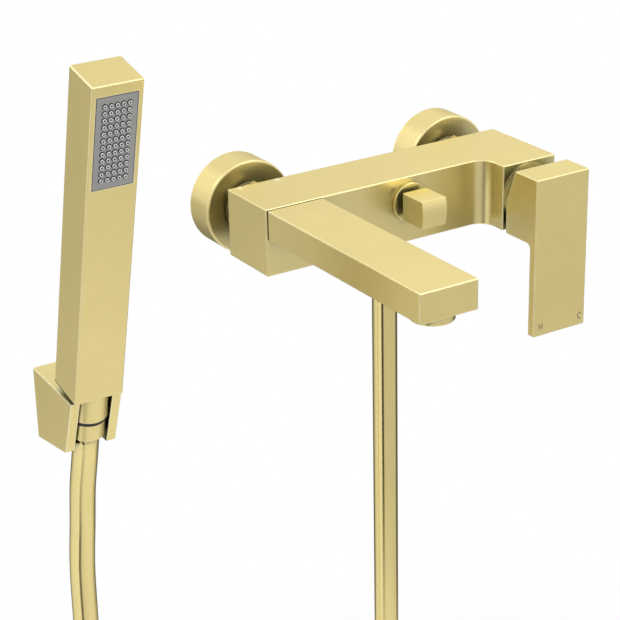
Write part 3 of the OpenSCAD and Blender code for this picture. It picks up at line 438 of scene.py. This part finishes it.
def flat_strokes(name, plane, strokes, thick, material, body):
    """Flat bars of a thin inlay. Each stroke is a list of points in the plane and a width."""
    origin, across, up, out = (Vector(v) for v in plane)
    verts, faces = [], []
    for points, width in strokes:
        for (ax, ay), (bx, by) in zip(points, points[1:]):
            way = Vector((bx - ax, by - ay)).normalized()
            side = Vector((-way.y, way.x)) * width / 2
            first = len(verts)
            for level in (-thick, thick):
                for x, y in ((ax, ay), (bx, by)):
                    for sign in (-1, 1):
                        verts.append(origin + across * (x + sign * side.x)
                                     + up * (y + sign * side.y) + out * level)
            for quad in ((0, 1, 3, 2), (4, 6, 7, 5), (0, 2, 6, 4), (1, 5, 7, 3),
                         (0, 4, 5, 1), (2, 3, 7, 6)):
                faces.append(tuple(first + q for q in quad))
    made = new_object(name, verts, faces)
    made.data.materials.append(material)
    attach(made, body)


def bands(name, plane, centres, inner, outer, low, high, slot, body):
    """Flat rings round centres in a plane, each between two outlines and two levels."""
    origin, across, up, out = (Vector(v) for v in plane)
    verts, faces = [], []
    count = len(inner)
    for cx, cy in centres:
        first = len(verts)
        for outline, level in ((inner, low), (inner, high), (outer, high), (outer, low)):
            verts += [origin + across * (cx + x) + up * (cy + y) + out * level
                      for x, y in outline]
        for ring in range(4):
            a, b = first + ring * count, first + (ring + 1) % 4 * count
            for i in range(count):
                k = (i + 1) % count
                faces.append((a + i, b + i, b + k, a + k))
    made = new_object(name, verts, faces)
    made.data.materials.append(MATERIALS[slot])
    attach(made, body)


def circle(radius, sides):
    turns = [i * 2 * math.pi / sides for i in range(sides)]
    return [(radius * math.cos(a), radius * math.sin(a)) for a in turns]


def rectangle(wide, tall):
    x, y = wide / 2, tall / 2
    return [(-x, -y), (x, -y), (x, y), (-x, y)]


def rings(name, plane, centres, ring, sides, slot, body):
    """Round bands. A ring is its inner and outer radius and its low and high level."""
    inner, outer, low, high = ring
    bands(name, plane, centres, circle(inner, sides), circle(outer, sides), low, high, slot, body)


def joint_line(name, plane, centre, wide, tall, line, slot, body):
    """A band along the rim of a rectangle. A line is how far the band reaches in from the rim
    and out past it, and its low and high level."""
    inward, outward, low, high = line
    bands(name, plane, [centre], rectangle(wide - 2 * inward, tall - 2 * inward),
          rectangle(wide + 2 * outward, tall + 2 * outward), low, high, slot, body)


# Hose. Its route is the one in part.scad, in millimetres

HOSE_D = 0.016
HOSE_SPACING = 0.005
HOSE_SIDES = 40
CURVE_STEPS = 24
HOSE_ROUTE = [
    (0, -57, -41.7), (0, -57, -80), (0, -57, -120), (0, -57, -160), (0, -57, -200),
    (0, -57, -240), (0, -57, -280), (0, -57, -320), (0, -57, -360), (0, -57, -400),
    (0, -57, -440), (0, -56, -480), (-1, -55, -515), (-4, -53, -548), (-14, -50, -580),
    (-31, -46, -608), (-54, -42, -627), (-82, -38, -638), (-112, -34, -639),
    (-141, -30, -629), (-166, -26, -611), (-184, -23, -586), (-195, -20, -556),
    (-200, -18, -522), (-202, -17, -484), (-202, -16, -444), (-202, -16, -404),
    (-202, -16, -364), (-202, -16, -324), (-202, -16, -284), (-202, -16, -246),
    (-202, -17, -212), (-201, -20, -180), (-201, -24, -154),
    (-200.5, -29.10, -131.22), (-200.5, -33.94, -111.81)]


def smooth_line(points, spacing):
    """Points every spacing metres along a Catmull-Rom curve through points."""
    p = np.array(points, float)
    p = np.vstack([2 * p[0] - p[1], p, 2 * p[-1] - p[-2]])
    t = np.linspace(0, 1, CURVE_STEPS, endpoint=False)[:, None]
    line = [0.5 * (2 * b + (c - a) * t + (2 * a - 5 * b + 4 * c - d) * t**2
                   + (3 * b - 3 * c + d - a) * t**3)
            for a, b, c, d in zip(p, p[1:], p[2:], p[3:])]
    line = np.vstack([*line, p[-2]])
    far = np.concatenate([[0], np.cumsum(np.linalg.norm(np.diff(line, axis=0), axis=1))])
    at = np.linspace(0, far[-1], max(2, round(far[-1] / spacing)) + 1)
    return np.stack([np.interp(at, far, line[:, i]) for i in range(3)], 1)


def tube(name, line, radius, sides):
    """A closed round tube along a line, turned as little as it can be."""
    ahead = np.gradient(line, axis=0)
    ahead /= np.linalg.norm(ahead, axis=1)[:, None]
    side = np.cross(ahead[0], (0, 1, 0))
    turns = np.arange(sides) * 2 * math.pi / sides
    verts, faces = [], []
    for point, way in zip(line, ahead):
        side = side - way * side.dot(way)
        side /= np.linalg.norm(side)
        up = np.cross(way, side)
        verts += [point + radius * (math.cos(a) * side + math.sin(a) * up) for a in turns]
    for first in range(0, (len(line) - 1) * sides, sides):
        for j in range(sides):
            a, b = first + j, first + (j + 1) % sides
            faces.append((a, b, b + sides, a + sides))
    faces.append(tuple(range(sides))[::-1])
    faces.append(tuple(range((len(line) - 1) * sides, len(line) * sides)))
    made = new_object(name, verts, faces)
    for face in made.data.polygons:
        face.use_smooth = len(face.vertices) == 4
    return made


def make_hose():
    route = [tuple(v / 1000 for v in point) for point in HOSE_ROUTE]
    line = smooth_line(route, HOSE_SPACING)
    hose = tube("smooth_hose", line, HOSE_D / 2, HOSE_SIDES)
    hose.data.materials.append(MATERIALS["satin_hose"])
    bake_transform(hose)
    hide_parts("shower_hose")


# Hot and cold marks

MARK_INK = (0.13, 0.105, 0.04)
MARK_TALL, MARK_WIDE, MARK_LINE = 0.0038, 0.0022, 0.0006
CROSSBAR = 0.7 * MARK_LINE
BOW_WIDE = 0.36 * MARK_TALL
BOW_FROM, BOW_TO, BOW_STEP = 45, 315, 18
MARK_THICK = 0.00002
MARK_LIFT = 0.0044
HOT_IN, COLD_IN = 0.0054, 0.0038


def hot_strokes():
    x, y = MARK_WIDE / 2, MARK_TALL
    return [([(-x, 0), (-x, y)], MARK_LINE), ([(x, 0), (x, y)], MARK_LINE),
            ([(-x, y / 2), (x, y / 2)], CROSSBAR)]


def cold_strokes():
    half = MARK_TALL / 2
    turns = [math.radians(a) for a in range(BOW_FROM, BOW_TO + 1, BOW_STEP)]
    return [([(BOW_WIDE * math.cos(a), half + half * math.sin(a)) for a in turns], MARK_LINE)]


def make_marks():
    """A hot and a cold mark at the foot of the lever."""
    low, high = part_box("lever")
    ink = plain("mark_ink", MARK_INK, 0.5)
    for name, x, strokes in (("hot_mark", low.x + HOT_IN, hot_strokes()),
                             ("cold_mark", high.x - COLD_IN, cold_strokes())):
        plane = ((x, low.y, low.z + MARK_LIFT), RIGHT, UP, OUT)
        flat_strokes(name, plane, strokes, MARK_THICK, ink, "lever")


# Thin rings and joint lines, in the forms that rings and joint_line take

ROOT_SIDES, TIP_SIDES, GROOVE_SIDES = 20, 16, 64
NOZZLE_ROOT_SHADOW = (0.00115, 0.00165, -0.0003, 0.00012)
NOZZLE_TIP = (0.00064, 0.00105, 0.0002, 0.00083)
SWIVEL_GROOVE = (0.0074, 0.0113, -0.0212, -0.0188)
PLATE_LINE = (0.0002, 0.0001, -0.0006, 0.00008)
SPOUT_LINE = (0.002, 0.00004, 0.00002, 0.00048)
FOOT_LINE = (0.0015, -0.00002, -0.00002, 0.0010)
FOOT_CUT = 0.0012


def make_spray_rims():
    """Rings of painted shadow round the nozzle roots, wider than the real gap, pale ends of the
    nozzles, and the line round the spray plate.
    """
    centres = [((i - (NOZZLE_COLS - 1) / 2) * NOZZLE_DX, (j - (NOZZLE_ROWS - 1) / 2) * NOZZLE_DZ)
               for i in range(NOZZLE_COLS) for j in range(NOZZLE_ROWS)]
    front = tuple(Vector(SPRAY_CENTRE) + FACE_OUT * Vector(FACE_WAY))
    plane = (front, RIGHT, RISE_WAY, FACE_WAY)
    # Dark rings of painted shadow round the nozzle roots, where the real gap is much thinner
    rings("nozzle_root_shadows", plane, centres, NOZZLE_ROOT_SHADOW, ROOT_SIDES, "rubber", "handset")
    rings("nozzle_tips", plane, centres, NOZZLE_TIP, TIP_SIDES, "silicone", "handset")
    joint_line("plate_seal", plane, (0, 0), SPRAY_W, SPRAY_LEN, PLATE_LINE, "dark_plastic",
               "handset")


def make_spout_joint_shadow():
    """A dark band of painted shade in the joint where the spout meets the bar."""
    low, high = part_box("spout")
    root = ((low.x + high.x) / 2, high.y, (low.z + high.z) / 2)
    joint_line("spout_joint_shadow", (root, RIGHT, UP, OUT), (0, 0), high.x - low.x, high.z - low.z,
               SPOUT_LINE, "rubber", "mixer")


def make_swivel_seal_and_foot_shadow():
    """A black seal ring in the groove of the swivel collar, which also stands in for the shade in
    the groove, and a dark line of painted shadow at the foot of the handset.
    """
    plane = (HANDSET_FOOT, RIGHT, tuple(-v for v in FACE_WAY), RISE_WAY)
    # Black seal ring in the swivel groove, also standing in for its shade
    rings("swivel_seal_and_shade", plane, [(0, 0)], SWIVEL_GROOVE, GROOVE_SIDES, "rubber", "hose_end")
    # Dark line of painted shadow at the foot of the handset
    joint_line("foot_shadow_line", plane, (0, FOOT_CUT / 2), HAND_W, HAND_T - FOOT_CUT, FOOT_LINE,
               "rubber", "handset")


# Studio: a white world, a pale floor, lit cards and small lamps

STUDIO = Vector((-0.05, -0.05, -0.2))
HANDSET_TOP = Vector((-0.2, -0.09, 0.12))
FLOOR_MID = (STUDIO.x, -0.20, -0.70)
FLOOR_RADIUS = 0.88
FLOOR_SIDES = 48
FLOOR_GREY = (0.82, 0.82, 0.82, 1)
FLOOR_ROUGHNESS = 0.9
FADE_FROM = 0.35
CARD_RADIUS = 1.7
CARD_COLUMNS, CARD_ROWS = 24, 12
DIMMEST, BRIGHTEST = 0.8, 1.3


def stage(name, verts, faces, material):
    made = new_object(name, verts, faces)
    made.data.materials.append(material)
    return made


def make_world():
    world = bpy.data.worlds.new("studio")
    world.use_nodes = True
    background = world.node_tree.nodes["Background"]
    background.inputs["Color"].default_value = (1, 1, 1, 1)
    background.inputs["Strength"].default_value = 1
    bpy.context.scene.world = world


def floor_paint():
    """Pale grey that fades into the white of the world towards the floor's rim."""
    material, tree, shader = new_material("floor")
    shader.inputs["Base Color"].default_value = FLOOR_GREY
    shader.inputs["Roughness"].default_value = FLOOR_ROUGHNESS
    shader.inputs["Specular IOR Level"].default_value = 0
    coords = tree.nodes.new("ShaderNodeTexCoord")
    away = tree.nodes.new("ShaderNodeVectorMath")
    away.operation = "DISTANCE"
    away.inputs[1].default_value = FLOOR_MID
    link(tree, coords.outputs["Object"], away.inputs[0])
    fade = tree.nodes.new("ShaderNodeMapRange")
    fade.interpolation_type = "SMOOTHSTEP"
    fade.inputs["From Min"].default_value = FADE_FROM
    fade.inputs["From Max"].default_value = FLOOR_RADIUS
    fade.inputs["To Min"].default_value = 1
    fade.inputs["To Max"].default_value = 0
    link(tree, away.outputs["Value"], fade.inputs["Value"])
    link(tree, fade.outputs["Result"], shader.inputs["Alpha"])
    return material


def make_floor():
    verts = [(FLOOR_MID[0] + x, FLOOR_MID[1] + y, FLOOR_MID[2])
             for x, y in circle(FLOOR_RADIUS, FLOOR_SIDES)]
    stage("floor", verts, [tuple(range(FLOOR_SIDES))], floor_paint())


# Name, turn from and to, elevation from and to, all in degrees, and level of each card
CARDS = [
    ("card_right", -12, 110, -40, 2, 0.665),
    ("card_right_low", -12, 110, -80, -40, 0.625),
    ("card_gap", -32, -12, -60, 2, 0.06),
    ("card_left", -103, -32, -50, 2, 0.93),
    ("card_left_back", -125, -103, -60, 2, 0.61),
    ("card_left_far", -150, -125, -60, 2, 0.2),
    ("card_back", -210, -150, -60, -15, 0.16),
    ("card_back_high", -210, -150, -15, 8, 0.48),
    ("card_right_back", 110, 150, -60, 4, 0.15),
    ("card_high", -250, -110, 8, 46, 0.838),
    ("card_top", -250, -110, 46, 62, 0.85),
]

# Turn and elevation where a card has its level, and its change per degree of each
SLOPES = {
    "card_high": (-182, 25.5, -0.02, 0.055),
    "card_left": (-70, -23, 0.002, 0.0),
    "card_left_back": (-114, -17, 0.0, -0.015),
}


def card_light(name, turn_from, turn_to, low, high, level):
    """Light of one level, or one that changes over the card as its slope says."""
    material = bpy.data.materials.new(name)
    material.use_nodes = True
    tree = material.node_tree
    tree.nodes.clear()
    light = tree.nodes.new("ShaderNodeEmission")
    light.inputs["Color"].default_value = (level, level, level, 1)
    if name in SLOPES:
        mid_turn, mid_lift, per_turn, per_lift = SLOPES[name]
        coords = tree.nodes.new("ShaderNodeTexCoord")
        change = tree.nodes.new("ShaderNodeVectorMath")
        change.operation = "DOT_PRODUCT"
        change.inputs[1].default_value = (per_turn * (turn_to - turn_from),
                                          per_lift * (high - low), 0)
        link(tree, coords.outputs["UV"], change.inputs[0])
        total = tree.nodes.new("ShaderNodeMath")
        total.inputs[1].default_value = (1 - per_turn * (mid_turn - turn_from)
                                         - per_lift * (mid_lift - low))
        link(tree, change.outputs["Value"], total.inputs[0])
        held = tree.nodes.new("ShaderNodeClamp")
        held.inputs["Min"].default_value = DIMMEST
        held.inputs["Max"].default_value = BRIGHTEST
        link(tree, total.outputs["Value"], held.inputs["Value"])
        link(tree, held.outputs["Result"], light.inputs["Strength"])
    out = tree.nodes.new("ShaderNodeOutputMaterial")
    link(tree, light.outputs["Emission"], out.inputs["Surface"])
    return material


def make_card(name, turn_from, turn_to, low, high, level):
    """A lit card on a sphere round the object. Turns are to the right of the camera. It is out
    of the camera's sight and seen in the metal."""
    grid = [(i / CARD_COLUMNS, j / CARD_ROWS)
            for j in range(CARD_ROWS + 1) for i in range(CARD_COLUMNS + 1)]
    verts = []
    for u, v in grid:
        turn = math.radians(turn_from + (turn_to - turn_from) * u) + AZIMUTH
        lift = math.radians(low + (high - low) * v)
        verts.append(STUDIO + CARD_RADIUS * pointing(turn, lift))
    wide = CARD_COLUMNS + 1
    faces = [(k, k + 1, k + wide + 1, k + wide)
             for j in range(CARD_ROWS) for k in range(j * wide, j * wide + CARD_COLUMNS)]
    light = card_light(name, turn_from, turn_to, low, high, level)
    made = stage(name, verts, faces, light)
    layer = made.data.uv_layers.new(name="UVMap")
    for loop in made.data.loops:
        layer.data[loop.index].uv = grid[loop.vertex_index]
    made.visible_camera = False
    made.visible_shadow = False


# Name, place, target, side and power of each square lamp
LAMPS = [
    ("key", (0.95, -0.86, 1.33), STUDIO, 0.6, 2.6),
    ("key_handset", (0.67, -1.37, 1.02), HANDSET_TOP, 0.6, 3.5),
    ("rim_handset", (-1.23, 0.85, 1.26), HANDSET_TOP, 0.5, 6),
    ("rim", (-0.85, 1.50, 0.77), STUDIO, 0.5, 5),
]


def make_lamp(name, place, target, side, power):
    data = bpy.data.lights.new(name, "AREA")
    data.shape = "SQUARE"
    data.size = side
    data.energy = power
    made = bpy.data.objects.new(name, data)
    made.location = place
    made.rotation_mode = "QUATERNION"
    made.rotation_quaternion = (target - Vector(place)).to_track_quat("-Z", "Y")
    made.visible_camera = False
    bpy.context.scene.collection.objects.link(made)


def make_studio():
    make_world()
    make_floor()
    for card in CARDS:
        make_card(*card)
    for lamp in LAMPS:
        make_lamp(*lamp)


make_camera()
make_hose()
dress_nodes()
make_marks()
make_spray_rims()
make_spout_joint_shadow()
make_swivel_seal_and_foot_shadow()
make_studio()
bpy.context.scene.view_settings.view_transform = "Standard"
